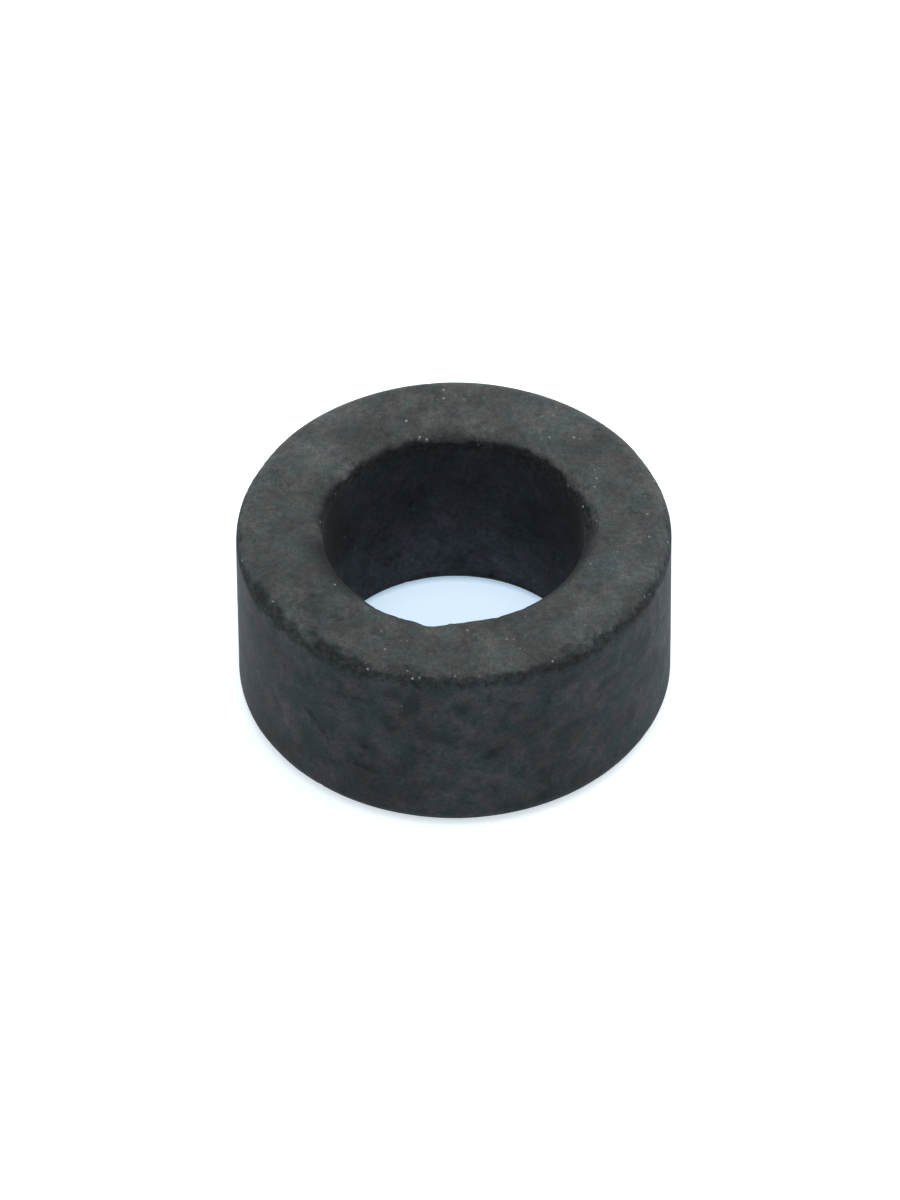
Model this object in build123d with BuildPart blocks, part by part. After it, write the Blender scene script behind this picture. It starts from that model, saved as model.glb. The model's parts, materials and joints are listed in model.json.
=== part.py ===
from build123d import *
import math
import os

# Ferrite toroid core: a bare ring, pressed from powder, sintered and tumbled.
# All sizes are in millimetres and all angles in degrees.
# The origin is on the ring's axis, in the plane of the face that it stands on, and +Z runs up the axis.

# Ring
outer_diameter = 10.0
ring_wall = 2.0
height = 4.8
bore_diameter = outer_diameter - 2 * ring_wall

# Edges, rounded by the tumbling barrel
outer_edge_radius = 0.45
bore_edge_radius = 0.35

# Chips: shell-shaped flakes lost from the brittle upper edges, the deepest of them a notch in the bore's edge.
# A depth is measured into the rounded edge, and an angle is counted about the axis from +X.
scar_radius = 1.8
outer_chip_depth = 0.07
outer_chip_angles = (-131.0, -122.0, -104.0, -58.0)
bore_chip_depth = 0.105
bore_chip_angles = (-122.5, -115.0, -107.0, 2.0)
bore_notch_radius = 0.75
bore_notch_depth = 0.18
bore_notch_angle = -100.2


def scar_centres(ball_radius, depth, edge_diameter, edge_radius, open_side, angles):
    """Centres of the balls whose skin is the floor of the scars on one upper edge.

    A ball reaches the edge from above its open side, at 45 degrees. open_side is 1 where that
    side faces away from the axis, and -1 where it faces the axis.
    """
    slope = math.cos(math.radians(45))
    rounded_away = edge_radius * (1 - slope)
    stand_off = (ball_radius - depth) * slope - rounded_away
    from_axis = edge_diameter / 2 + open_side * stand_off
    return [Vector(from_axis, 0, height + stand_off).rotate(Axis.Z, angle) for angle in angles]


outer_edge = (outer_diameter, outer_edge_radius, 1)
bore_edge = (bore_diameter, bore_edge_radius, -1)
outer_scars = scar_centres(scar_radius, outer_chip_depth, *outer_edge, outer_chip_angles)
bore_scars = scar_centres(scar_radius, bore_chip_depth, *bore_edge, bore_chip_angles)
bore_notch = scar_centres(bore_notch_radius, bore_notch_depth, *bore_edge, [bore_notch_angle])

with BuildPart() as toroid_core:
    with BuildSketch(Plane.XZ) as section:
        with Locations((bore_diameter / 2, 0)):
            Rectangle(ring_wall, height, align=(Align.MIN, Align.MIN))
        fillet(section.vertices().group_by(Axis.X)[-1], radius=outer_edge_radius)
        fillet(section.vertices().group_by(Axis.X)[0], radius=bore_edge_radius)
    revolve(axis=Axis.Z)
    with Locations(*outer_scars, *bore_scars):
        Sphere(scar_radius, mode=Mode.SUBTRACT)
    with Locations(*bore_notch):
        Sphere(bore_notch_radius, mode=Mode.SUBTRACT)

toroid_core.part.label = "toroid_core"
os.makedirs("parts", exist_ok=True)
export_step(toroid_core.part, "parts/toroid_core.step")
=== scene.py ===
"""Looks of the ferrite toroid core: a bare sintered ring with crumbled edges, on a pale studio floor."""

import json
import logging
import math
import random
from dataclasses import dataclass, field
from enum import Enum, IntEnum

import bmesh
import bpy
from mathutils import Matrix, Quaternion, Vector, noise


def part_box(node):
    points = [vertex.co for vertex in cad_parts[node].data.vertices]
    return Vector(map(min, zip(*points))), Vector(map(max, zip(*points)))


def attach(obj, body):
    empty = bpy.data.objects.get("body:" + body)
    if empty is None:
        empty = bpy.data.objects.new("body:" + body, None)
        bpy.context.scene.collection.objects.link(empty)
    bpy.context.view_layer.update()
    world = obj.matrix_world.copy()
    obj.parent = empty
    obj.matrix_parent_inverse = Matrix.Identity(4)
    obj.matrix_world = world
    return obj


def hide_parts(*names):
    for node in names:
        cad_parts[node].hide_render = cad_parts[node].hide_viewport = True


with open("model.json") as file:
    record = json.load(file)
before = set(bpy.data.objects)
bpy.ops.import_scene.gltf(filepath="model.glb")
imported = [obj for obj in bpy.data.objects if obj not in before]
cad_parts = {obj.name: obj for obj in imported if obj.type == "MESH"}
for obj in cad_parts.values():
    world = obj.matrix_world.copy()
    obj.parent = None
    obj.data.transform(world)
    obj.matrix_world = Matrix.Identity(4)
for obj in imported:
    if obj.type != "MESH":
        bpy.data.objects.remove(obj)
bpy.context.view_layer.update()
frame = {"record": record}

LOG = logging.getLogger("toroid_core")
MM = 0.001
WHITE = (1.0, 1.0, 1.0, 1.0)

# Each random layer reads the noise this many lumps away from the one before it.
LAYER_STEP = Vector((17.3, 5.1, 31.7))


class Layer(IntEnum):
    """The random layers that shape the wear. Each has its own place in the noise."""

    WARP = 1
    PEEL = 2
    SKIN_BORDER = 3
    FINE_BORDER = 4
    RAW_BORDER = 5
    GRAINS = 6
    FINE_GRAINS = 7
    HOLLOW = 8
    REACH_UP = 9
    REACH_DOWN = 10
    PATCH = 11
    GLINT_PATCH = 12


def linear(hex_colour: str) -> tuple[float, float, float, float]:
    """Turn an sRGB hex colour into the linear colour that a shader takes, by sRGB's own curve.

    Args:
        hex_colour: Six hex digits after a hash.

    Returns:
        Red, green, blue and an alpha of one.
    """
    parts = [int(hex_colour[i:i + 2], 16) / 255 for i in (1, 3, 5)]
    return (*[c / 12.92 if c <= 0.04045 else ((c + 0.055) / 1.055) ** 2.4 for c in parts], 1.0)


def smooth_step(low: float, high: float, value: float) -> float:
    """Rise smoothly from 0 at low to 1 at high.

    Args:
        low: Where the rise starts.
        high: Where it ends. It may lie below low, for a fall.
        value: The place asked for.

    Returns:
        The share of the rise, from 0 to 1.
    """
    share = min(1.0, max(0.0, (value - low) / (high - low)))
    return share * share * (3 - 2 * share)


def lumps(place: Vector, size_mm: float, which: Layer) -> float:
    """Read a smooth random layer whose lumps are about one size.

    Args:
        place: Where, in millimetres.
        size_mm: The width of one lump and the gap beside it.
        which: The layer.

    Returns:
        A value about 0, mostly between -0.7 and 0.7.
    """
    return noise.noise(place / size_mm + LAYER_STEP * which)


def degrees_apart(angle: float, other: float) -> float:
    """Measure the turn from one angle to another, the short way round.

    Args:
        angle: An angle in degrees.
        other: The angle to start from.

    Returns:
        The turn in degrees, from -180 to 180.
    """
    return (angle - other + 180) % 360 - 180


def add(tree: bpy.types.NodeTree, kind: str, settings: dict[str, object] | None = None,
        inputs: dict[str | int, object] | None = None) -> bpy.types.Node:
    """Add one node with its settings and links.

    Args:
        tree: The nodes of a material or of the world.
        kind: Blender's name for the node.
        settings: A value for each of the node's own options.
        inputs: For each input, by name or number, a value or the socket that feeds it.

    Returns:
        The new node.
    """
    node = tree.nodes.new(kind)
    for name, value in (settings or {}).items():
        setattr(node, name, value)
    for name, value in (inputs or {}).items():
        named = [socket for socket in node.inputs if socket.name == name and socket.enabled]
        socket = named[0] if named else node.inputs[name]
        if isinstance(value, bpy.types.NodeSocket):
            tree.links.new(value, socket)
        else:
            socket.default_value = value
    return node


class Rim(Enum):
    """The side of the wall that an edge rounds."""

    OUTER = 1
    BORE = -1


class Face(Enum):
    """The flat face that an edge rounds."""

    UPPER = 1
    LOWER = -1


class Side(Enum):
    """Where a patch lies."""

    WALL = 1
    TOP = 2


@dataclass(frozen=True)
class Edge:
    """One of the ring's four rounded edges, and how it crumbled.

    A path length runs in millimetres from where the rounding leaves the flat face, over the edge
    and down the wall.

    Args:
        rim: The side of the wall.
        face: The flat face.
        radius_mm: The rounding's radius.
        segments: How many flats the mesh rounds it with.
        skin_to_mm: The path length at which the face's tumbled skin ends.
        raw_to_mm: The path length at which the crumbled band ends.
        ragged_mm: How far the two borders stray.
        lost_mm: How much of the surface has crumbled off in the band.
        flakes: How many small flakes it has lost.
        grains_mm: How coarse the crumbled surface is.
        rubbed_and_lit: How much of the lighter skin the rounding has, partly burnished by tumbling and partly
            painted light.
    """

    rim: Rim
    face: Face
    radius_mm: float
    segments: int
    skin_to_mm: float
    raw_to_mm: float
    ragged_mm: float
    lost_mm: float
    flakes: int
    grains_mm: float
    rubbed_and_lit: float


@dataclass(frozen=True)
class Scar:
    """One shell-shaped flake lost from a rounded edge.

    Args:
        rim: The edge that lost it.
        angle: Where it is, in degrees about the axis from +X.
        radius_mm: The radius of its hollow.
        depth_mm: How far the hollow goes into the rounded edge.
        bared: How much raw grain its floor shows, from 0 to 1.
    """

    rim: Rim
    angle: float
    radius_mm: float
    depth_mm: float
    bared: float


@dataclass(frozen=True)
class Clump:
    """A stretch of an upper edge that crumbled more, or less, than beside it.

    Args:
        rim: The side of the wall.
        angle: Its middle, in degrees about the axis from +X.
        half_width: Half its width, in degrees.
        up_mm: How much further it reaches onto the face.
        down_mm: How much further it reaches down the wall.
    """

    rim: Rim
    angle: float
    half_width: float
    up_mm: float
    down_mm: float


@dataclass(frozen=True)
class ShadedLip:
    """A stretch of the bore's upper rounding with painted shade, which also lacks the lighter skin.

    Args:
        angle: Its middle, in degrees about the axis from +X.
        half_width: Half its width, in degrees.
        from_mm: The path length at which the dark starts.
        to_mm: The path length at which it is darkest.
        strength: How dark it is there, from 0 to 1.
    """

    angle: float
    half_width: float
    from_mm: float
    to_mm: float
    strength: float


@dataclass(frozen=True)
class Patch:
    """A soft patch on the outer wall or on the upper face, darker with dirt, or lighter, which at the back of
    the bore's rim is painted light.

    Args:
        side: The wall or the face.
        angle: Its middle, in degrees about the axis from +X.
        middle_mm: Its middle's height on the wall, or its distance from the axis on the face.
        half_width_mm: Half its width round the ring.
        half_length_mm: Half its length across the face or down the wall.
        strength: How strong it is in its middle, from 0 to 1.
    """

    side: Side
    angle: float
    middle_mm: float
    half_width_mm: float
    half_length_mm: float
    strength: float


@dataclass(frozen=True)
class Scratch:
    """A thin dark line on the outer wall, or a pit where its two ends are the same.

    Args:
        start: One end's angle in degrees and height in millimetres.
        end: The same for the other end.
        half_width_mm: Half the line's width.
        strength: How dark it is, from 0 to 1.
    """

    start: tuple[float, float]
    end: tuple[float, float]
    half_width_mm: float
    strength: float


@dataclass(frozen=True)
class SinteredFerrite:
    """Manganese-zinc ferrite, pressed from powder, fired and tumbled.

    Tumbling rubs a thin grey skin onto the faces, slightly warm on the flats and cool on the wall.
    Where an edge crumbled, the raw dark grain shows, and a few crystals in it get painted glints.
    To the eye it is matt and dark, with a cloudy grey bloom and a dull dark ragged edge.
    """

    # A skin has two shades, which lie in blotches.
    face_skin: tuple[str, str] = ("#40494a", "#494947")
    # The lighter skin on the roundings and in patches of the face: partly burnished by tumbling, partly
    # painted light
    rubbed_and_lit_skin: str = "#575a59"
    # The wall's skin is darker than the face's: partly its own colour, partly painted shade for a wall turned
    # from the overhead lamp
    wall_skin: tuple[str, str] = ("#2c3a3c", "#444246")
    bore_skin: tuple[str, str] = ("#404c53", "#484a54")
    raw_grain: tuple[str, str] = ("#222628", "#383c3d")
    # One dark colour for dirt and scratches, and for painted shade on the bore and low on the outer wall
    grime_and_painted_shade: str = "#14171a"
    # The painted highlight of a glinting crystal
    glint: str = "#c8d2d4"

    # The skin is rubbed a little smoother than the raw grain, and the barrel hardly reached the bore.
    skin_roughness: float = 0.74
    raw_roughness: float = 0.85
    bore_roughness: float = 1.0
    ior: float = 1.5
    specular_level: float = 0.18
    dust: float = 0.03
    dust_roughness: float = 0.4

    # The blotches' width on the skins and on the raw grain, and how far their shades run into each other
    blotch_mm: float = 0.45
    pit_mm: float = 0.13
    blotch_spread: float = 0.16
    blotch_roughness: float = 0.62

    # The mottling's layers, each with its width in millimetres and its swing about the plain colour
    tone_layers: tuple[tuple[float, float], ...] = ((1.4, 0.78), (0.5, 0.44), (0.14, 0.50), (0.05, 0.62))
    tint_layers: tuple[tuple[float, float], ...] = ((0.4, 0.05), (0.15, 0.11), (0.06, 0.21))

    # Small dark smudges, where a cloud falls below a level
    smudge_mm: float = 0.55
    smudge_depth: float = 0.40
    smudge_below: float = 0.44
    smudge_fade: float = 0.14
    smudge_roughness: float = 0.65

    # The ragged borders of the face's skin and of the raw grain
    border_grain_mm: float = 0.16
    border_stray: float = 1.0
    skin_softness: float = 0.12
    raw_softness: float = 0.25

    # The scratches' breaks and bends, and how they fade sideways
    scratch_grain_mm: float = 0.3
    scratch_wander_mm: float = 0.10
    scratch_fade: float = 1.8
    scratch_gain: float = 3.0

    # A real grain is about 0.02 mm wide, too fine to show, so the relief and the crystals are drawn coarser.
    relief_mm: float = 0.0022
    relief_grain_mm: float = 0.06
    relief_strength: tuple[float, float] = (0.5, 1.0)
    crystal_mm: float = 0.15
    glint_share: float = 0.32
    glint_rarity: float = 0.985
    glint_fall: float = 4.5
    glint_bonus: float = 0.60

    def material(self, scratches: list[tuple[Vector, Vector, Scratch]]) -> bpy.types.Material:
        """Build the node material, on Object coordinates turned to millimetres.

        Args:
            scratches: The two ends of each scratch in millimetres, and the scratch.

        Returns:
            The finished material.
        """
        material = bpy.data.materials.new("sintered_ferrite")
        material.use_nodes = True
        tree = material.node_tree
        tree.nodes.clear()
        place = add(tree, "ShaderNodeTexCoord")
        in_mm = add(tree, "ShaderNodeMapping", {},
                    {"Vector": place.outputs["Object"], "Scale": (1 / MM,) * 3})
        where = in_mm.outputs["Vector"]
        raw = self.border(tree, where, "raw_grain", self.raw_softness)
        in_bore = add(tree, "ShaderNodeAttribute", {"attribute_name": "bore_skin"})
        soiled_and_shaded = add(tree, "ShaderNodeAttribute", {"attribute_name": "stain_and_painted_shade"})
        # The lighter skin: partly burnish, partly painted light where a rounding turns from the lamps
        on_edge = add(tree, "ShaderNodeAttribute", {"attribute_name": "rubbed_and_lit"})
        rubbed_and_lit = add(tree, "ShaderNodeMix", {"data_type": "RGBA"}, {
            "Factor": on_edge.outputs["Fac"], "A": self.blotched(tree, where, self.face_skin, self.blotch_mm),
            "B": linear(self.rubbed_and_lit_skin)})
        face = self.border(tree, where, "face_skin", self.skin_softness)
        colour = self.blotched(tree, where, self.wall_skin, self.blotch_mm)
        # Each skin or mark lies over the ones before it.
        for share, over in (
            (in_bore.outputs["Fac"], self.blotched(tree, where, self.bore_skin, self.blotch_mm)),
            (face, rubbed_and_lit.outputs["Result"]),
            # Dirt, with painted shade on the bore and low on the outer wall
            (soiled_and_shaded.outputs["Fac"], linear(self.grime_and_painted_shade)),
            (self.scratched(tree, where, scratches), linear(self.grime_and_painted_shade)),
            (raw, self.blotched(tree, where, self.raw_grain, self.pit_mm)),
        ):
            mix = add(tree, "ShaderNodeMix", {"data_type": "RGBA"}, {"Factor": share, "A": colour, "B": over})
            colour = mix.outputs["Result"]
        # Painted glints: light specks laid into the colour
        lit = add(tree, "ShaderNodeMix", {"data_type": "RGBA"}, {
            "Factor": self.glints(tree, where),
            "A": self.mottled(tree, where, colour),
            "B": linear(self.glint),
        })
        rough = add(tree, "ShaderNodeMapRange", {},
                    {"Value": raw, "To Min": self.skin_roughness, "To Max": self.raw_roughness})
        unrubbed = add(tree, "ShaderNodeMath", {"operation": "SUBTRACT", "use_clamp": True},
                       {0: in_bore.outputs["Fac"], 1: face})
        rougher = add(tree, "ShaderNodeMix", {"data_type": "FLOAT"}, {
            "Factor": unrubbed.outputs[0], "A": rough.outputs["Result"], "B": self.bore_roughness})
        shader = add(tree, "ShaderNodeBsdfPrincipled", {}, {
            "Base Color": lit.outputs["Result"],
            "Roughness": rougher.outputs["Result"],
            "IOR": self.ior,
            "Specular IOR Level": self.specular_level,
            "Sheen Weight": self.dust,
            "Sheen Roughness": self.dust_roughness,
            "Normal": self.relief(tree, where, raw),
        })
        add(tree, "ShaderNodeOutputMaterial", {}, {"Surface": shader.outputs["BSDF"]})
        return material

    def border(self, tree: bpy.types.NodeTree, where: bpy.types.NodeSocket, name: str,
               softness: float) -> bpy.types.NodeSocket:
        """Turn a field that the mesh carries into a patch with a ragged, grainy border.

        Args:
            tree: The material's nodes.
            where: The place in millimetres.
            name: The mesh's attribute, which is 0.5 on the border.
            softness: How much of the attribute's range the border takes, either way.

        Returns:
            A share of 1 inside the patch and 0 outside.
        """
        given = add(tree, "ShaderNodeAttribute", {"attribute_name": name})
        stray = add(tree, "ShaderNodeTexNoise", {},
                    {"Vector": where, "Scale": 1 / self.border_grain_mm, "Detail": 3.0})
        moved = add(tree, "ShaderNodeMath", {"operation": "MULTIPLY_ADD"},
                    {0: stray.outputs["Fac"], 1: self.border_stray, 2: given.outputs["Fac"]})
        middle = 0.5 + self.border_stray / 2
        inside = add(tree, "ShaderNodeMapRange", {"interpolation_type": "SMOOTHSTEP"}, {
            "Value": moved.outputs[0], "From Min": middle - softness, "From Max": middle + softness})
        return inside.outputs["Result"]

    def blotched(self, tree: bpy.types.NodeTree, where: bpy.types.NodeSocket, shades: tuple[str, str],
                 size_mm: float) -> bpy.types.NodeSocket:
        """Lay out a skin in blotches of two shades that run into each other.

        Args:
            tree: The material's nodes.
            where: The place in millimetres.
            shades: The two shades.
            size_mm: The width of the largest blotches.

        Returns:
            The skin's colour.
        """
        cloud = add(tree, "ShaderNodeTexNoise", {}, {
            "Vector": where, "Scale": 1 / size_mm, "Detail": 4.0, "Roughness": self.blotch_roughness})
        share = add(tree, "ShaderNodeMapRange", {"interpolation_type": "SMOOTHSTEP"}, {
            "Value": cloud.outputs["Fac"],
            "From Min": 0.5 - self.blotch_spread, "From Max": 0.5 + self.blotch_spread})
        mix = add(tree, "ShaderNodeMix", {"data_type": "RGBA"}, {
            "Factor": share.outputs["Result"], "A": linear(shades[0]), "B": linear(shades[1])})
        return mix.outputs["Result"]

    def mottled(self, tree: bpy.types.NodeTree, where: bpy.types.NodeSocket,
                colour: bpy.types.NodeSocket) -> bpy.types.NodeSocket:
        """Vary a colour in patches and grain, as a surface worn by rubbing does.

        Args:
            tree: The material's nodes.
            where: The place in millimetres.
            colour: The plain colour.

        Returns:
            The varied colour.
        """
        layers = [(size, swing, "Fac") for size, swing in self.tone_layers]
        layers += [(size, swing, "Color") for size, swing in self.tint_layers]
        for size, swing, output in layers:
            cloud = add(tree, "ShaderNodeTexNoise", {}, {"Vector": where, "Scale": 1 / size, "Detail": 2.0})
            gain = add(tree, "ShaderNodeVectorMath", {"operation": "MULTIPLY_ADD"},
                       {0: cloud.outputs[output], 1: (2 * swing,) * 3, 2: (1 - swing,) * 3})
            product = add(tree, "ShaderNodeVectorMath", {"operation": "MULTIPLY"},
                          {0: colour, 1: gain.outputs["Vector"]})
            colour = product.outputs["Vector"]
        cloud = add(tree, "ShaderNodeTexNoise", {}, {
            "Vector": where, "Scale": 1 / self.smudge_mm, "Detail": 5.0, "Roughness": self.smudge_roughness})
        left = add(tree, "ShaderNodeMapRange", {"interpolation_type": "SMOOTHSTEP"}, {
            "Value": cloud.outputs["Fac"],
            "From Min": self.smudge_below - self.smudge_fade, "From Max": self.smudge_below,
            "To Min": 1 - self.smudge_depth, "To Max": 1.0})
        darker = add(tree, "ShaderNodeVectorMath", {"operation": "SCALE"},
                     {0: colour, "Scale": left.outputs["Result"]})
        return darker.outputs["Vector"]

    def scratched(self, tree: bpy.types.NodeTree, where: bpy.types.NodeSocket,
                  scratches: list[tuple[Vector, Vector, Scratch]]) -> bpy.types.NodeSocket:
        """Draw the scratches and pits, a little bent, and fading and broken along their length.

        Args:
            tree: The material's nodes.
            where: The place in millimetres.
            scratches: The two ends of each scratch in millimetres, and the scratch.

        Returns:
            A share that is highest along the middle of each scratch.
        """
        cloud = add(tree, "ShaderNodeTexNoise", {}, {"Vector": where, "Scale": 1 / self.scratch_grain_mm})
        jitter = add(tree, "ShaderNodeTexNoise", {}, {"Vector": where, "Scale": 2 / self.scratch_grain_mm})
        bent = add(tree, "ShaderNodeVectorMath", {"operation": "MULTIPLY_ADD"},
                   {0: jitter.outputs["Color"], 1: (2 * self.scratch_wander_mm,) * 3, 2: where})
        centred = add(tree, "ShaderNodeVectorMath", {"operation": "SUBTRACT"},
                      {0: bent.outputs["Vector"], 1: (self.scratch_wander_mm,) * 3})
        total = None
        for start, end, scratch in scratches:
            run = end - start
            away = add(tree, "ShaderNodeVectorMath", {"operation": "SUBTRACT"},
                       {0: centred.outputs["Vector"], 1: start})
            dot = add(tree, "ShaderNodeVectorMath", {"operation": "DOT_PRODUCT"},
                      {0: away.outputs["Vector"], 1: run})
            share = add(tree, "ShaderNodeMath", {"operation": "DIVIDE", "use_clamp": True},
                        {0: dot.outputs["Value"], 1: run.length_squared or 1.0})
            foot = add(tree, "ShaderNodeVectorMath", {"operation": "SCALE"},
                       {0: run, "Scale": share.outputs[0]})
            gap = add(tree, "ShaderNodeVectorMath", {"operation": "DISTANCE"},
                      {0: away.outputs["Vector"], 1: foot.outputs["Vector"]})
            line = add(tree, "ShaderNodeMapRange", {"interpolation_type": "SMOOTHSTEP"}, {
                "Value": gap.outputs["Value"],
                "From Min": self.scratch_fade * scratch.half_width_mm, "From Max": 0.0,
                "To Max": self.scratch_gain * scratch.strength})
            worn = add(tree, "ShaderNodeMath", {"operation": "MULTIPLY"},
                       {0: line.outputs["Result"], 1: cloud.outputs["Fac"]})
            if total is None:
                total = worn.outputs[0]
            else:
                both = add(tree, "ShaderNodeMath", {"operation": "MAXIMUM"}, {0: total, 1: worn.outputs[0]})
                total = both.outputs[0]
        return total

    def glints(self, tree: bpy.types.NodeTree, where: bpy.types.NodeSocket) -> bpy.types.NodeSocket:
        """Pick the few crystal faces that get a painted glint, most of them along the crumbled borders.

        Args:
            tree: The material's nodes.
            where: The place in millimetres.

        Returns:
            A share of 1 on a glinting crystal and 0 elsewhere.
        """
        crystals = add(tree, "ShaderNodeTexVoronoi", {}, {"Vector": where, "Scale": 1 / self.crystal_mm})
        lot = add(tree, "ShaderNodeSeparateColor", {}, {"Color": crystals.outputs["Color"]})
        glint_chance = add(tree, "ShaderNodeAttribute", {"attribute_name": "glint_chance"})
        chance = add(tree, "ShaderNodeMath", {"operation": "MULTIPLY_ADD"},
                     {0: glint_chance.outputs["Fac"], 1: self.glint_bonus, 2: lot.outputs["Red"]})
        chosen = add(tree, "ShaderNodeMath", {"operation": "GREATER_THAN"},
                     {0: chance.outputs[0], 1: self.glint_rarity})
        bright = add(tree, "ShaderNodeMath", {"operation": "POWER"},
                     {0: lot.outputs["Green"], 1: self.glint_fall})
        small = add(tree, "ShaderNodeMapRange", {"interpolation_type": "SMOOTHSTEP"}, {
            "Value": crystals.outputs["Distance"], "From Min": self.glint_share, "From Max": 0.0})
        share = small.outputs["Result"]
        for factor in (chosen.outputs[0], bright.outputs[0]):
            product = add(tree, "ShaderNodeMath", {"operation": "MULTIPLY"}, {0: share, 1: factor})
            share = product.outputs[0]
        return share

    def relief(self, tree: bpy.types.NodeTree, where: bpy.types.NodeSocket,
               raw: bpy.types.NodeSocket) -> bpy.types.NodeSocket:
        """Raise the fine grain, which is coarser to the touch where the edge crumbled.

        Args:
            tree: The material's nodes.
            where: The place in millimetres.
            raw: The share of raw grain.

        Returns:
            The surface's direction.
        """
        grain = add(tree, "ShaderNodeTexNoise", {},
                    {"Vector": where, "Scale": 1 / self.relief_grain_mm, "Detail": 2.0})
        rubbed_and_lit, crumbled = self.relief_strength
        strength = add(tree, "ShaderNodeMapRange", {}, {"Value": raw, "To Min": rubbed_and_lit, "To Max": crumbled})
        bump = add(tree, "ShaderNodeBump", {}, {
            "Height": grain.outputs["Fac"], "Strength": strength.outputs["Result"],
            "Distance": self.relief_mm * MM})
        return bump.outputs["Normal"]


@dataclass
class RingBody:
    """The ring itself, spun from its rounded section and then worn."""

    edges: tuple[Edge, ...] = (
        Edge(Rim.OUTER, Face.UPPER, radius_mm=0.45, segments=24, skin_to_mm=0.43, raw_to_mm=0.65,
             ragged_mm=0.08, lost_mm=0.018, flakes=36, grains_mm=0.11, rubbed_and_lit=0.3),
        Edge(Rim.BORE, Face.UPPER, radius_mm=0.35, segments=22, skin_to_mm=0.48, raw_to_mm=0.72,
             ragged_mm=0.06, lost_mm=0.012, flakes=26, grains_mm=0.09, rubbed_and_lit=0.9),
        Edge(Rim.OUTER, Face.LOWER, radius_mm=0.45, segments=14, skin_to_mm=0.42, raw_to_mm=0.52,
             ragged_mm=0.06, lost_mm=0.012, flakes=10, grains_mm=0.11, rubbed_and_lit=0.3),
        Edge(Rim.BORE, Face.LOWER, radius_mm=0.35, segments=11, skin_to_mm=0.38, raw_to_mm=0.50,
             ragged_mm=0.05, lost_mm=0.010, flakes=8, grains_mm=0.09, rubbed_and_lit=0.9),
    )

    # The mesh's pitch on each straight side, and its steps round one of the sectors that doubling copies
    face_pitch_mm: float = 0.06
    wall_pitch_mm: float = 0.09
    bore_pitch_mm: float = 0.13
    base_pitch_mm: float = 0.15
    doublings: int = 3
    steps: int = 71

    # The least length of a straight side, and how near two places are that count as one
    straight_mm: float = 1.0
    same_mm: float = 0.01
    merge_mm: float = 1e-4

    # The depth and the width of the firing's gentle waves and of the pressed surface's ripple
    warp_mm: tuple[float, float] = (0.010, 1.9)
    peel_mm: tuple[float, float] = (0.004, 0.45)

    # The width of the borders' larger and finer waves, and of the raw grain's own border
    border_waves_mm: tuple[float, float] = (0.30, 0.14)
    fine_wave_share: float = 0.7
    raw_wave_mm: float = 0.22
    reach_waves_mm: tuple[float, float] = (1.1, 0.9)
    border_fade_mm: float = 0.4
    crumble_fade_mm: tuple[float, float] = (-0.05, 0.10)
    rubbed_and_lit_from: float = 0.6

    # How deep the crumbled band is, as shares of its edge's loss: on its grains, and more between them
    lost_least: float = 0.6
    lost_swing: float = 0.8
    fine_grain_share: float = 0.3

    # Where the painted glints gather: along the skin's border, and in patches that grow more to the right
    glint_border_mm: float = 0.16
    glint_patch_mm: float = 1.3
    glint_fade: float = 0.4
    glint_lean_mm: float = 15.0

    # Scars lie in the middle of the rounding. Small flakes are strewn over it.
    scars: tuple[Scar, ...] = (
        Scar(Rim.OUTER, -131, 1.8, 0.07, 0.35),
        Scar(Rim.OUTER, -122, 1.8, 0.07, 0.40),
        Scar(Rim.OUTER, -104, 1.8, 0.07, 0.40),
        Scar(Rim.OUTER, -58, 1.8, 0.07, 0.30),
        Scar(Rim.BORE, -122.5, 1.8, 0.105, 0.30),
        Scar(Rim.BORE, -115, 1.8, 0.105, 0.30),
        Scar(Rim.BORE, -107, 1.8, 0.105, 0.30),
        Scar(Rim.BORE, -100.2, 0.75, 0.18, 0.40),
        Scar(Rim.BORE, -92, 1.8, 0.05, 0.20),
        Scar(Rim.BORE, 2, 1.8, 0.105, 0.0),
        Scar(Rim.BORE, -72, 0.25, 0.04, 0.40),
        Scar(Rim.BORE, -60, 0.25, 0.04, 0.40),
    )
    scar_slope: float = 45.0
    flake_radius_mm: tuple[float, float] = (0.2, 0.45)
    flake_depth_mm: tuple[float, float] = (0.01, 0.035)
    flake_slope: tuple[float, float] = (35.0, 75.0)
    flake_bared: float = 0.34
    hollow_grain_mm: float = 0.14
    hollow_rough_mm: float = 0.02
    seed: int = 11
    clumps: tuple[Clump, ...] = (
        Clump(Rim.OUTER, -155, 4.0, 0.20, 0.10),
        Clump(Rim.OUTER, -146, 4.0, 0.17, 0.10),
        Clump(Rim.OUTER, -126.5, 5.0, 0.17, 0.08),
        Clump(Rim.OUTER, -138, 3.0, 0.10, 0.0),
        Clump(Rim.OUTER, -132.5, 2.5, -0.08, 0.0),
        Clump(Rim.OUTER, -117.5, 5.0, 0.14, 0.12),
        Clump(Rim.OUTER, -105.5, 3.0, 0.05, 0.06),
        Clump(Rim.OUTER, -88, 12.0, 0.04, -0.02),
        Clump(Rim.OUTER, -53, 3.0, -0.08, 0.0),
        Clump(Rim.OUTER, -59.5, 4.0, 0.0, 0.04),
        Clump(Rim.OUTER, -42, 7.0, 0.07, 0.0),
        Clump(Rim.BORE, 10, 16.0, 0.23, 0.0),
        Clump(Rim.BORE, 52, 20.0, 0.15, 0.0),
        Clump(Rim.BORE, 92, 6.0, -0.03, 0.0),
        Clump(Rim.BORE, 108, 5.0, 0.12, 0.0),
        Clump(Rim.BORE, 128, 22.0, 0.06, 0.0),
        Clump(Rim.BORE, 165, 18.0, 0.12, 0.0),
    )
    clump_fade: tuple[float, float] = (1.3, 0.5)
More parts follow.
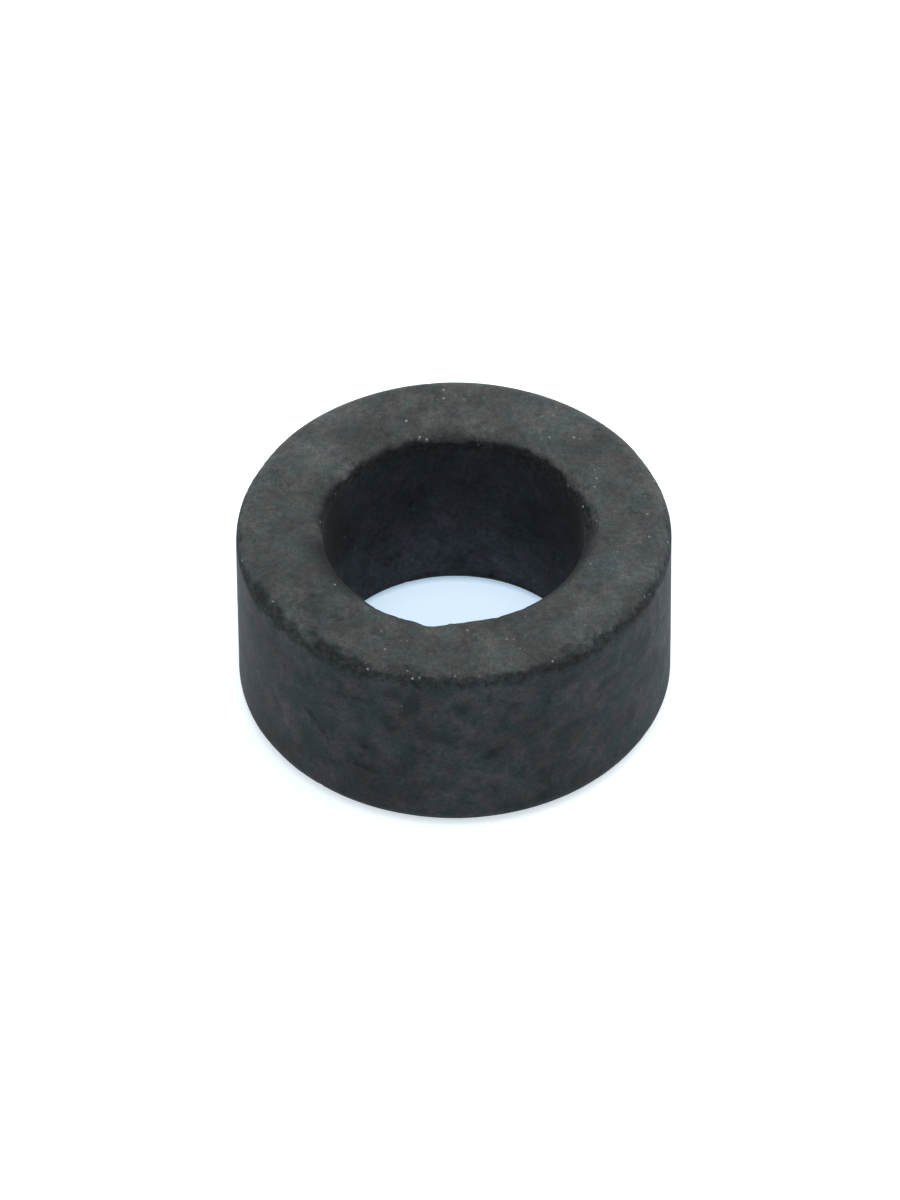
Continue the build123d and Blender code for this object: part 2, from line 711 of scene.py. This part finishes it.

    # Soiled patches, and below them the lighter patches of the upper face; the last is painted light at the
    # back of the bore's rim
    stains: tuple[Patch, ...] = (
        Patch(Side.WALL, -101, 3.8, 0.30, 0.45, 0.55),
        Patch(Side.WALL, -95, 2.95, 0.65, 0.40, 0.35),
        Patch(Side.WALL, -131, 3.5, 0.28, 0.25, 0.45),
        Patch(Side.WALL, -133.9, 3.29, 0.24, 0.24, 0.50),
        Patch(Side.WALL, -136.2, 1.06, 0.26, 0.22, 0.60),
        Patch(Side.WALL, -123.9, 3.04, 0.24, 0.12, 0.50),
        Patch(Side.WALL, -115.3, 3.05, 0.18, 0.12, 0.45),
        Patch(Side.WALL, -106.4, 4.1, 0.32, 0.28, 0.65),
        Patch(Side.WALL, -107, 2.97, 0.22, 0.14, 0.50),
        Patch(Side.WALL, -103.1, 3.49, 0.18, 0.16, 0.70),
        Patch(Side.WALL, -91.1, 2.83, 0.35, 0.22, 0.55),
        Patch(Side.WALL, -87.8, 3.74, 0.30, 0.18, 0.50),
        Patch(Side.WALL, -84.4, 1.53, 0.22, 0.18, 0.35),
        Patch(Side.WALL, -81.0, 2.25, 0.24, 0.22, 0.50),
        Patch(Side.WALL, -79.2, 1.72, 0.17, 0.12, 0.45),
        Patch(Side.WALL, -74.5, 3.72, 0.22, 0.16, 0.60),
        Patch(Side.WALL, -67.1, 1.35, 0.15, 0.18, 0.40),
        Patch(Side.WALL, -64.4, 0.53, 0.45, 0.28, 0.55),
        Patch(Side.WALL, -37, 1.5, 0.35, 0.70, 0.55),
        Patch(Side.WALL, -58, 3.95, 0.45, 0.25, 0.50),
        Patch(Side.WALL, -60, 2.4, 0.40, 0.35, 0.25),
        Patch(Side.WALL, -46, 3.25, 0.60, 0.18, 0.40),
        Patch(Side.WALL, -31, 3.4, 0.50, 0.45, 0.55),
        Patch(Side.WALL, -24, 2.4, 0.60, 0.50, 0.40),
        Patch(Side.TOP, -135, 4.0, 1.60, 0.80, 0.45),
        Patch(Side.TOP, -89.2, 4.07, 0.14, 0.10, 0.35),
        Patch(Side.TOP, -83.6, 3.84, 0.13, 0.07, 0.45),
    )
    lighter_patches: tuple[Patch, ...] = (
        Patch(Side.TOP, -42, 4.0, 1.7, 1.3, 0.42),
        Patch(Side.TOP, -12, 3.6, 1.3, 0.8, 0.40),
        Patch(Side.TOP, 130, 4.0, 2.0, 1.3, 0.40),
        # Painted light at the back of the bore's rim, where the rounding turns from the lamps
        Patch(Side.TOP, 91, 3.45, 1.10, 0.70, 0.85),
    )
    patch_grain_mm: float = 0.25
    patch_stray: float = 0.5
    patch_fade: tuple[float, float] = (1.1, 0.2)
    patch_reach: float = 2.0

    # Painted shade on the bore's upper rounding, in the bore towards its upper end and its sides, and low on
    # the outer wall
    shaded_lips: tuple[ShadedLip, ...] = (
        ShadedLip(-152, 22.0, -0.30, 0.26, 0.95),
        ShadedLip(-95, 48.0, 0.02, 0.30, 0.70),
        ShadedLip(-27, 28.0, -0.08, 0.32, 0.90),
        ShadedLip(165, 15.0, 0.0, 0.50, 0.55),
    )
    shaded_lip_fade: tuple[float, float] = (1.3, 0.7)
    bore_painted_shade: float = 0.49
    bore_side_painted_shade: float = 0.45
    bore_side: tuple[float, float] = (0.70, 0.97)
    bore_shade_height_mm: tuple[float, float] = (0.9, 3.2)
    bore_shade_border_mm: tuple[float, float] = (0.06, -0.06)
    foot_painted_shade: float = 0.20
    foot_shade_height_mm: tuple[float, float] = (1.7, 0.5)
    foot_shade_depth_mm: float = 0.1
    scratches: tuple[Scratch, ...] = (
        Scratch((-133, 2.50), (-125.6, 1.92), 0.05, 0.35),
        Scratch((-131.8, 2.45), (-129.6, 2.34), 0.075, 0.6),
        Scratch((-127.4, 2.22), (-126.4, 2.12), 0.055, 0.5),
        Scratch((-119.2, 1.70), (-109.3, 1.33), 0.05, 0.35),
        Scratch((-117.2, 1.53), (-114, 1.48), 0.07, 0.6),
        Scratch((-122, 3.57), (-120.1, 3.56), 0.06, 0.4),
        Scratch((-117.5, 3.57), (-114.3, 3.64), 0.06, 0.4),
        Scratch((-114.6, 2.16), (-114.6, 2.16), 0.09, 0.9),
        Scratch((-115.5, 1.85), (-115.5, 1.85), 0.07, 0.4),
        Scratch((-123.9, 1.28), (-123.9, 1.28), 0.07, 0.5),
        Scratch((-81.9, 2.17), (-80.4, 2.30), 0.10, 0.7),
        Scratch((-80.4, 2.30), (-78.1, 2.44), 0.07, 0.5),
        Scratch((-79.6, 2.99), (-79.6, 2.99), 0.055, 0.6),
    )
    finish: SinteredFerrite = field(default_factory=SinteredFerrite)

    def __post_init__(self) -> None:
        """Take the ring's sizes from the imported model, and place its scars and flakes."""
        low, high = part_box("toroid_core")
        bore = next(mount for mount in frame["record"]["mounts"] if mount["name"] == "bore")
        self.radius_mm = (high.y - low.y) / 2 / MM
        self.height_mm = high.z / MM
        self.bore_mm = bore["dims"]["r_mm"]
        self.edge_of = {(edge.rim, edge.face): edge for edge in self.edges}
        self.hollows = self.lost_flakes()

    def build(self) -> bpy.types.Object:
        """Build the worn ring and seat it on the frame.

        Returns:
            The finished piece, which stands for the CAD ring.
        """
        bm = self.spun_section()
        self.wear(bm)
        bmesh.ops.scale(bm, vec=(MM,) * 3, verts=bm.verts)
        mesh = bpy.data.meshes.new("toroid_core_worn")
        bm.to_mesh(mesh)
        bm.free()
        mesh.shade_smooth()
        ends = [(self.on_wall(*scratch.start), self.on_wall(*scratch.end), scratch)
                for scratch in self.scratches]
        mesh.materials.append(self.finish.material(ends))
        piece = bpy.data.objects.new("toroid_core_worn", mesh)
        bpy.context.scene.collection.objects.link(piece)
        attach(piece, "root")
        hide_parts("toroid_core")
        return piece

    def spun_section(self) -> bmesh.types.BMesh:
        """Round the corners of the ring's section, spin it through one sector and repeat that round.

        Returns:
            The smooth ring, in millimetres.
        """
        bm = bmesh.new()
        corners = {}
        for rim, radial in ((Rim.OUTER, self.radius_mm), (Rim.BORE, self.bore_mm)):
            for face, height in ((Face.UPPER, self.height_mm), (Face.LOWER, 0.0)):
                corners[rim, face] = bm.verts.new((radial, 0, height))
        bm.faces.new([corners[key] for key in (
            (Rim.BORE, Face.LOWER), (Rim.OUTER, Face.LOWER),
            (Rim.OUTER, Face.UPPER), (Rim.BORE, Face.UPPER))])
        for edge in self.edges:
            bmesh.ops.bevel(bm, geom=[corners[edge.rim, edge.face]], offset=edge.radius_mm,
                            offset_type="OFFSET", segments=edge.segments, profile=0.5,
                            affect="VERTICES", material=-1)
        bmesh.ops.delete(bm, geom=bm.faces[:], context="FACES_ONLY")
        for straight in [side for side in bm.edges if side.calc_length() > self.straight_mm]:
            cuts = math.ceil(straight.calc_length() / self.pitch(straight)) - 1
            bmesh.ops.subdivide_edges(bm, edges=[straight], cuts=cuts)
        sector = math.tau / 2 ** self.doublings
        bmesh.ops.spin(bm, geom=bm.verts[:] + bm.edges[:], cent=(0, 0, 0), axis=(0, 0, 1),
                       angle=sector, steps=self.steps, use_merge=False)
        for doubling in range(self.doublings):
            copied = bmesh.ops.duplicate(bm, geom=bm.verts[:] + bm.edges[:] + bm.faces[:])["geom"]
            verts = [item for item in copied if isinstance(item, bmesh.types.BMVert)]
            turn = Matrix.Rotation(sector * 2 ** doubling, 3, "Z")
            bmesh.ops.rotate(bm, cent=(0, 0, 0), matrix=turn, verts=verts)
        bmesh.ops.remove_doubles(bm, verts=bm.verts, dist=self.merge_mm)
        bmesh.ops.recalc_face_normals(bm, faces=bm.faces)
        return bm

    def pitch(self, straight: bmesh.types.BMEdge) -> float:
        """Choose how finely a straight stretch of the section is divided.

        Args:
            straight: The stretch.

        Returns:
            The distance between its points, in millimetres.
        """
        middle = (straight.verts[0].co + straight.verts[1].co) / 2
        if math.isclose(middle.x, self.radius_mm, abs_tol=self.same_mm):
            return self.wall_pitch_mm
        if math.isclose(middle.x, self.bore_mm, abs_tol=self.same_mm):
            return self.bore_pitch_mm
        return self.face_pitch_mm if middle.z > self.height_mm / 2 else self.base_pitch_mm

    def wear(self, bm: bmesh.types.BMesh) -> None:
        """Move the smooth ring's points to the worn surface, and note what shows where.

        Args:
            bm: The smooth ring, in millimetres.
        """
        bm.normal_update()
        fields = {name: bm.verts.layers.float.new(name) for name in (
            "face_skin", "rubbed_and_lit", "bore_skin", "raw_grain", "glint_chance", "stain_and_painted_shade")}
        worn = [self.worn(vert.co.copy(), vert.normal.copy()) for vert in bm.verts]
        for vert, (place, shares) in zip(bm.verts, worn):
            vert.co = place
            for name, share in shares.items():
                vert[fields[name]] = share

    def worn(self, place: Vector, normal: Vector) -> tuple[Vector, dict[str, float]]:
        """Work out where wear leaves one point of the surface, and what shows there.

        Args:
            place: The point on the smooth ring, in millimetres.
            normal: The surface's direction there.

        Returns:
            The point on the worn surface, and the share of each skin and mark.
        """
        radial = math.hypot(place.x, place.y)
        angle = math.degrees(math.atan2(place.y, place.x))
        rim = Rim.BORE if radial < (self.radius_mm + self.bore_mm) / 2 else Rim.OUTER
        face = Face.UPPER if place.z > self.height_mm / 2 else Face.LOWER
        edge = self.edge_of[rim, face]
        along = self.path_length(edge, radial, place.z)
        skin, band = self.borders(edge, place, angle, along)
        patch, lip_shade, bare, bore_shade = 0.0, 0.0, 0.0, 0.0
        if face is Face.UPPER:
            patch = self.patched(self.lighter_patches, place, angle, radial)
        if face is Face.UPPER and rim is Rim.BORE:
            # Painted shade on the bore's upper rounding
            lip_shade, bare = self.shaded_lip(angle, along)
        if rim is Rim.BORE:
            # Painted shade in the bore, darker towards its upper end and its sides
            bore_shade = self.bore_shaded(place, radial, skin)
        # Lighter skin over the rounding: partly burnish, partly painted light where it turns from the lamps
        rubbed_and_lit = edge.rubbed_and_lit * smooth_step(0.0, self.rubbed_and_lit_from * edge.radius_mm, along)
        out, bared = self.hollowed(place - normal * self.sunk(edge, place, band), place, self.share(band))
        shares = {
            "face_skin": self.share(skin),
            "rubbed_and_lit": max(patch, rubbed_and_lit) * (1 - bare),
            "bore_skin": float(rim is Rim.BORE),
            "raw_grain": bared,
            "glint_chance": self.glint_chance(place, skin, along),
            # Painted shade on the bore and the wall's foot, with the dirt
            "stain_and_painted_shade": max(lip_shade, bore_shade, self.stained_and_foot_shaded(place, angle, radial)),
        }
        return out, shares

    def share(self, inside_mm: float) -> float:
        """Turn a distance inside a border into a share, which is 0.5 on the border itself.

        Args:
            inside_mm: The distance, below 0 outside.

        Returns:
            The share, from 0 to 1.
        """
        return min(1.0, max(0.0, 0.5 + inside_mm / self.border_fade_mm))

    def borders(self, edge: Edge, place: Vector, angle: float, along: float) -> tuple[float, float]:
        """Find how far inside the face's skin and inside the crumbled band one point lies.

        Args:
            edge: The edge that the point belongs to.
            place: The point, in millimetres.
            angle: Its angle about the axis, in degrees.
            along: Its path length over the edge.

        Returns:
            The two distances in millimetres, below 0 outside.
        """
        wide, fine = self.border_waves_mm
        stray = edge.ragged_mm * (lumps(place, wide, Layer.SKIN_BORDER)
                                  + self.fine_wave_share * lumps(place, fine, Layer.FINE_BORDER))
        up, down = self.reach(edge, place, angle)
        skin = edge.skin_to_mm - up + stray - along
        raw_stray = edge.ragged_mm * lumps(place, self.raw_wave_mm, Layer.RAW_BORDER)
        return skin, min(-skin, edge.raw_to_mm + down + raw_stray - along)

    def sunk(self, edge: Edge, place: Vector, band: float) -> float:
        """Say how far the surface lies below the smooth ring's at one point.

        Args:
            edge: The edge that the point belongs to.
            place: The point, in millimetres.
            band: How far inside the crumbled band it lies.

        Returns:
            The depth in millimetres.
        """
        depth = 0.0
        for (deepest, width), which in ((self.warp_mm, Layer.WARP), (self.peel_mm, Layer.PEEL)):
            depth += deepest * (0.5 + 0.5 * lumps(place, width, which))
        coarse = lumps(place, edge.grains_mm, Layer.GRAINS)
        fine = lumps(place, edge.grains_mm / 2, Layer.FINE_GRAINS)
        between = max(0.0, 0.5 + 0.5 * coarse + self.fine_grain_share * fine)
        lost = self.lost_least + self.lost_swing * between
        return depth + smooth_step(*self.crumble_fade_mm, band) * edge.lost_mm * lost

    def glint_chance(self, place: Vector, skin: float, along: float) -> float:
        """Say how readily a crystal gets a painted glint at one point.

        Args:
            place: The point, in millimetres.
            skin: How far inside the face's skin it lies.
            along: Its path length over the edge, below 0 on the flat face.

        Returns:
            The share of the full bonus, from 0 to 1.
        """
        at_border = smooth_step(self.glint_border_mm, 0.0, abs(skin))
        if along >= 0:
            return at_border
        patch = lumps(place, self.glint_patch_mm, Layer.GLINT_PATCH) + place.x / self.glint_lean_mm
        return max(at_border, smooth_step(0.0, self.glint_fade, patch))

    def hollowed(self, out: Vector, place: Vector, bared: float) -> tuple[Vector, float]:
        """Press one point onto the floor of the scars and flakes that it lies in.

        Args:
            out: The point on the worn surface, in millimetres.
            place: Where it was on the smooth ring.
            bared: How much raw grain it shows so far.

        Returns:
            The point with the hollows, and the share of raw grain there.
        """
        rough = self.hollow_rough_mm * lumps(place, self.hollow_grain_mm, Layer.HOLLOW)
        for scar, centre in self.hollows:
            gap = out - centre
            radius = scar.radius_mm + rough
            if gap.length < radius:
                out = centre + gap.normalized() * radius
                bared = max(bared, scar.bared)
        return out, bared

    def shaded_lip(self, angle: float, along: float) -> tuple[float, float]:
        """Say how much painted shade the bore's upper rounding has at one point.

        Args:
            angle: The point's angle about the axis, in degrees.
            along: Its path length over the rounding.

        Returns:
            How dark its painted shade is, and how much of the lighter skin it lacks, both from 0 to 1.
        """
        dark, bare = 0.0, 0.0
        for shaded_lip in self.shaded_lips:
            away = abs(degrees_apart(angle, shaded_lip.angle)) / shaded_lip.half_width
            share = smooth_step(*self.shaded_lip_fade, away)
            dark = max(dark, share * shaded_lip.strength * smooth_step(shaded_lip.from_mm, shaded_lip.to_mm, along))
            bare = max(bare, share)
        return dark, bare

    def path_length(self, edge: Edge, radial: float, height: float) -> float:
        """Measure how far a point lies along the section past the start of an edge's rounding.

        Args:
            edge: The edge.
            radial: The point's distance from the axis.
            height: Its height above the standing face.

        Returns:
            The path length, below 0 on the flat face.
        """
        wall = self.radius_mm if edge.rim is Rim.OUTER else self.bore_mm
        beyond = (radial - wall) * edge.rim.value + edge.radius_mm
        from_face = self.height_mm - height if edge.face is Face.UPPER else height
        above = edge.radius_mm - from_face
        if beyond <= 0:
            return beyond
        if above <= 0:
            return edge.radius_mm * math.pi / 2 - above
        return edge.radius_mm * math.atan2(beyond, above)

    def reach(self, edge: Edge, place: Vector, angle: float) -> tuple[float, float]:
        """Say how much further than usual an edge crumbled at one angle.

        Args:
            edge: The edge.
            place: A point on it, in millimetres.
            angle: The point's angle about the axis, in degrees.

        Returns:
            The extra reach onto the face and down the wall, in millimetres.
        """
        up_wave_mm, down_wave_mm = self.reach_waves_mm
        up = edge.ragged_mm * lumps(place, up_wave_mm, Layer.REACH_UP)
        down = edge.ragged_mm * lumps(place, down_wave_mm, Layer.REACH_DOWN)
        for clump in self.clumps:
            if clump.rim is edge.rim and edge.face is Face.UPPER:
                away = abs(degrees_apart(angle, clump.angle)) / clump.half_width
                share = smooth_step(*self.clump_fade, away)
                up += share * clump.up_mm
                down += share * clump.down_mm
        return up, down

    def stained_and_foot_shaded(self, place: Vector, angle: float, radial: float) -> float:
        """Find the darkest of the dirty patches over one point, and the painted shade on the wall's foot.

        Args:
            place: The point, in millimetres.
            angle: Its angle about the axis, in degrees.
            radial: Its distance from the axis.

        Returns:
            How dark it is, from 0 to 1.
        """
        patch = self.patched(self.stains, place, angle, radial)
        if radial < self.radius_mm - self.foot_shade_depth_mm:
            return patch
        # Painted shade, darker towards the wall's foot
        return max(patch, self.foot_painted_shade * smooth_step(*self.foot_shade_height_mm, place.z))

    def bore_shaded(self, place: Vector, radial: float, skin: float) -> float:
        """Say how much painted shade the bore has at one point, which grows towards its upper end and its
        sides.

        Args:
            place: The point, in millimetres.
            radial: Its distance from the axis.
            skin: How far it lies inside the face's tumbled skin, in millimetres.

        Returns:
            How dark it is, from 0 to 1.
        """
        full = self.bore_painted_shade + self.bore_side_painted_shade * smooth_step(*self.bore_side, abs(place.x) / radial)
        upper = smooth_step(*self.bore_shade_height_mm, place.z)
        return full * upper * smooth_step(*self.bore_shade_border_mm, skin)

    def patched(self, patches: tuple[Patch, ...], place: Vector, angle: float,
                radial: float) -> float:
        """Find the strongest of some soft patches over one point of the surface.

        Args:
            patches: The patches.
            place: The point, in millimetres.
            angle: Its angle about the axis, in degrees.
            radial: Its distance from the axis.

        Returns:
            How strong it is, from 0 to 1.
        """
        strongest = 0.0
        stray = self.patch_stray * lumps(place, self.patch_grain_mm, Layer.PATCH)
        for patch in patches:
            across = math.radians(degrees_apart(angle, patch.angle)) * radial / patch.half_width_mm
            if abs(across) < self.patch_reach:
                on_wall = patch.side is Side.WALL
                out_mm = radial - (self.radius_mm if on_wall else patch.middle_mm)
                up_mm = place.z - (patch.middle_mm if on_wall else self.height_mm)
                away = math.hypot(across, math.hypot(out_mm, up_mm) / patch.half_length_mm) + stray
                strongest = max(strongest, patch.strength * smooth_step(*self.patch_fade, away))
        return strongest

    def on_wall(self, angle: float, height: float) -> Vector:
        """Find a point of the outer wall.

        Args:
            angle: Its angle about the axis, in degrees from +X.
            height: Its height above the standing face, in millimetres.

        Returns:
            The point, in millimetres.
        """
        turn = math.radians(angle)
        return Vector((self.radius_mm * math.cos(turn), self.radius_mm * math.sin(turn), height))

    def lost_flakes(self) -> list[tuple[Scar, Vector]]:
        """Place the balls whose skins are the floors of the scars and of the small flakes.

        Returns:
            Each scar or flake with the middle of its ball, in millimetres.
        """
        rng = random.Random(self.seed)
        balls = []
        for scar in self.scars:
            edge = self.edge_of[scar.rim, Face.UPPER]
            balls.append((scar, self.ball_centre(edge, scar, math.radians(self.scar_slope))))
        for edge in self.edges:
            for _ in range(edge.flakes):
                flake = Scar(edge.rim, rng.uniform(-180, 180), rng.uniform(*self.flake_radius_mm),
                             rng.uniform(*self.flake_depth_mm), self.flake_bared)
                slope = math.radians(rng.uniform(*self.flake_slope))
                balls.append((flake, self.ball_centre(edge, flake, slope)))
        return balls

    def ball_centre(self, edge: Edge, scar: Scar, slope: float) -> Vector:
        """Place a ball that cuts a scar into a rounded edge.

        Args:
            edge: The edge.
            scar: The scar.
            slope: Where on the rounding it is, as an angle in radians from the face's direction.

        Returns:
            The ball's middle, in millimetres.
        """
        wall = self.radius_mm if edge.rim is Rim.OUTER else self.bore_mm
        stand_off = edge.radius_mm + scar.radius_mm - scar.depth_mm
        radial = wall + edge.rim.value * (stand_off * math.sin(slope) - edge.radius_mm)
        below_face = edge.radius_mm - stand_off * math.cos(slope)
        height = self.height_mm - below_face if edge.face is Face.UPPER else below_face
        turn = math.radians(scar.angle)
        return Vector((radial * math.cos(turn), radial * math.sin(turn), height))


@dataclass(frozen=True)
class SoftLamp:
    """A round cloth-fronted lamp that points at the ring.

    Args:
        name: What it is called.
        azimuth: Its direction about the axis, in degrees from +X.
        elevation: Its height above the floor, in degrees.
        level: How brightly a white card that faces it is lit.
        distance_mm: How far away it stands.
        size_mm: Its diameter.
    """

    name: str
    azimuth: float
    elevation: float
    level: float
    distance_mm: float = 150.0
    size_mm: float = 120.0

    def hang(self) -> None:
        """Hang the lamp in the scene."""
        data = bpy.data.lights.new(self.name, "AREA")
        data.shape = "DISK"
        data.size = self.size_mm * MM
        # A power of the square of pi times the distance lights a white card there to a level of one.
        data.energy = self.level * (math.pi * self.distance_mm * MM) ** 2
        lamp = bpy.data.objects.new(self.name, data)
        turn, lift = math.radians(self.azimuth), math.radians(self.elevation)
        away = Vector((math.cos(turn) * math.cos(lift), math.sin(turn) * math.cos(lift), math.sin(lift)))
        lamp.location = away * self.distance_mm * MM
        lamp.rotation_mode = "QUATERNION"
        lamp.rotation_quaternion = (-away).to_track_quat("-Z", "Y")
        bpy.context.scene.collection.objects.link(lamp)


@dataclass
class Studio:
    """A pale floor, soft lamps and the camera at the photograph's angle."""

    lamps: tuple[SoftLamp, ...] = (
        SoftLamp("overhead_lamp", -90, 76, 0.44),
        SoftLamp("left_lamp", 180, 40, 0.05),
        SoftLamp("right_lamp", 30, 40, 0.24),
        SoftLamp("back_lamp", 90, 40, 0.31),
    )

    # What the floor adds where it is seen: outside the ring, and less and bluer inside it, a painted shade.
    # Far off it fades to white.
    floor_colour: str = "#eaf0f5"
    floor_lift: tuple[float, float, float] = (0.58, 0.63, 0.66)
    shaded_bore_floor_lift: tuple[float, float, float] = (0.36, 0.49, 0.62)
    under_wall_mm: float = 4.0
    fade_mm: tuple[float, float] = (30.0, 120.0)
    floor_side_mm: float = 2400.0
    sky_colour: str = "#e6e9ee"
    sky_strength: float = 0.25

    # The camera, fitted to the photograph's outline of the ring
    lens_mm: float = 344.3
    aim_mm: tuple[float, float, float] = (-0.098, 0.0, 2.359)
    camera_distance_mm: float = 264.3
    camera_elevation: float = 44.327
    camera_roll: float = -0.463
    camera_clip_m: tuple[float, float] = (0.01, 10.0)

    def build(self) -> None:
        """Set up everything round the ring."""
        self.floor()
        self.sky()
        for lamp in self.lamps:
            lamp.hang()
        self.camera()
        bpy.context.scene.view_settings.view_transform = "Standard"

    def background_ray(self, tree: bpy.types.NodeTree) -> bpy.types.NodeSocket:
        """Tell a ray that shows the background from one that lights the ring.

        Args:
            tree: The nodes of the floor or the world.

        Returns:
            A share of 1 for a camera, glossy or transmission ray and 0 for the rest.
        """
        path = add(tree, "ShaderNodeLightPath")
        share = path.outputs["Is Camera Ray"]
        for name in ("Is Glossy Ray", "Is Transmission Ray"):
            either = add(tree, "ShaderNodeMath", {"operation": "MAXIMUM"}, {0: share, 1: path.outputs[name]})
            share = either.outputs[0]
        return share

    def floor(self) -> None:
        """Lay a matt pale floor, which is lifted towards white where it is seen and keeps the shadow."""
        bm = bmesh.new()
        bmesh.ops.create_grid(bm, x_segments=1, y_segments=1, size=self.floor_side_mm / 2 * MM)
        mesh = bpy.data.meshes.new("floor")
        bm.to_mesh(mesh)
        bm.free()
        floor = bpy.data.objects.new("floor", mesh)
        bpy.context.scene.collection.objects.link(floor)
        material = bpy.data.materials.new("matt_floor_paint")
        material.use_nodes = True
        tree = material.node_tree
        tree.nodes.clear()
        plain = add(tree, "ShaderNodeBsdfDiffuse", {}, {"Color": linear(self.floor_colour)})
        place = add(tree, "ShaderNodeTexCoord")
        radial = add(tree, "ShaderNodeVectorMath", {"operation": "LENGTH"}, {0: place.outputs["Object"]})
        outside = add(tree, "ShaderNodeMath", {"operation": "GREATER_THAN"},
                      {0: radial.outputs["Value"], 1: self.under_wall_mm * MM})
        # Inside the ring the lift is less and bluer: painted shade on the floor in the bore
        veil = add(tree, "ShaderNodeMix", {"data_type": "RGBA"}, {
            "Factor": outside.outputs[0], "A": (*self.shaded_bore_floor_lift, 1.0), "B": (*self.floor_lift, 1.0)})
        fade_from, fade_to = self.fade_mm
        far = add(tree, "ShaderNodeMapRange", {"interpolation_type": "SMOOTHSTEP"}, {
            "Value": radial.outputs["Value"], "From Min": fade_from * MM, "From Max": fade_to * MM})
        faded = add(tree, "ShaderNodeMix", {"data_type": "RGBA"}, {
            "Factor": far.outputs["Result"], "A": veil.outputs["Result"], "B": WHITE})
        lift = add(tree, "ShaderNodeEmission", {}, {"Color": faded.outputs["Result"], "Strength": 1.0})
        lifted = add(tree, "ShaderNodeAddShader", {}, {0: plain.outputs[0], 1: lift.outputs[0]})
        either = add(tree, "ShaderNodeMixShader", {},
                     {0: self.background_ray(tree), 1: plain.outputs[0], 2: lifted.outputs[0]})
        add(tree, "ShaderNodeOutputMaterial", {}, {"Surface": either.outputs[0]})
        mesh.materials.append(material)

    def sky(self) -> None:
        """Light the ring a little from all round, and show white behind it."""
        world = bpy.data.worlds.new("studio")
        bpy.context.scene.world = world
        world.use_nodes = True
        tree = world.node_tree
        tree.nodes.clear()
        soft = add(tree, "ShaderNodeBackground", {},
                   {"Color": linear(self.sky_colour), "Strength": self.sky_strength})
        white = add(tree, "ShaderNodeBackground", {}, {"Color": WHITE, "Strength": 1.0})
        either = add(tree, "ShaderNodeMixShader", {},
                     {0: self.background_ray(tree), 1: soft.outputs[0], 2: white.outputs[0]})
        add(tree, "ShaderNodeOutputWorld", {}, {"Surface": either.outputs[0]})

    def camera(self) -> None:
        """Stand the camera where the photograph was taken from."""
        data = bpy.data.cameras.new("camera")
        data.lens = self.lens_mm
        data.clip_start, data.clip_end = self.camera_clip_m
        camera = bpy.data.objects.new("camera", data)
        bpy.context.scene.collection.objects.link(camera)
        lift = math.radians(self.camera_elevation)
        back = Vector((0, -math.cos(lift), math.sin(lift)))
        camera.location = (Vector(self.aim_mm) + back * self.camera_distance_mm) * MM
        camera.rotation_mode = "QUATERNION"
        roll = Quaternion((0, 0, 1), math.radians(self.camera_roll))
        camera.rotation_quaternion = (-back).to_track_quat("-Z", "Y") @ roll
        bpy.context.scene.camera = camera


def main() -> None:
    """Build the ring and the studio."""
    logging.basicConfig(level=logging.INFO, format="%(message)s")
    ring = RingBody().build()
    LOG.info("%s: %d faces", ring.name, len(ring.data.polygons))
    Studio().build()


if __name__ == "__main__":
    main()
